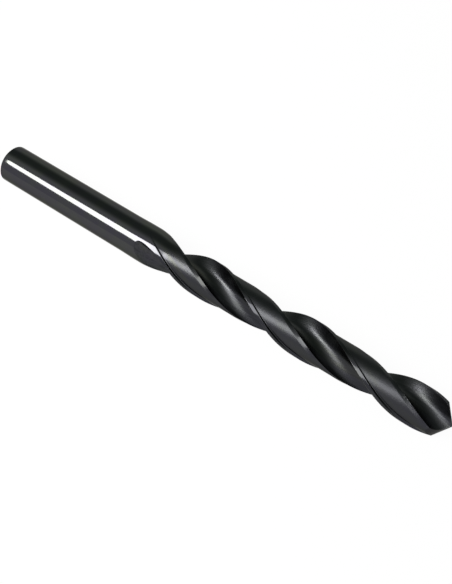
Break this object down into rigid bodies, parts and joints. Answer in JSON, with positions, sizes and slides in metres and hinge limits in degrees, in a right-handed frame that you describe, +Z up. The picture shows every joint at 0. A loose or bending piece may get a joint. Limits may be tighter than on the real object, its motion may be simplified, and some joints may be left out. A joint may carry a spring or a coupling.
{
  "type": "twist drill bit",
  "caption": "Straight-shank twist drill with helical flutes, narrow margins, relieved lands and a conical point, for drilling metal.",
  "frame": {"origin": "below the middle of the drill's length, on the plane that it lies on", "axes": "+X along the drill's axis from the shank end to the point; +Z up from the plane that the drill lies on"},
  "size_m": [0.133, 0.0102, 0.0102],
  "materials": {
    "black_oxide_steel": "ground high-speed steel with a black oxide surface, glossy on the shank and finely grained in the flutes"
  },
  "bodies": {
    "root": {"drill_bit": "black_oxide_steel"}
  },
  "joints": []
}
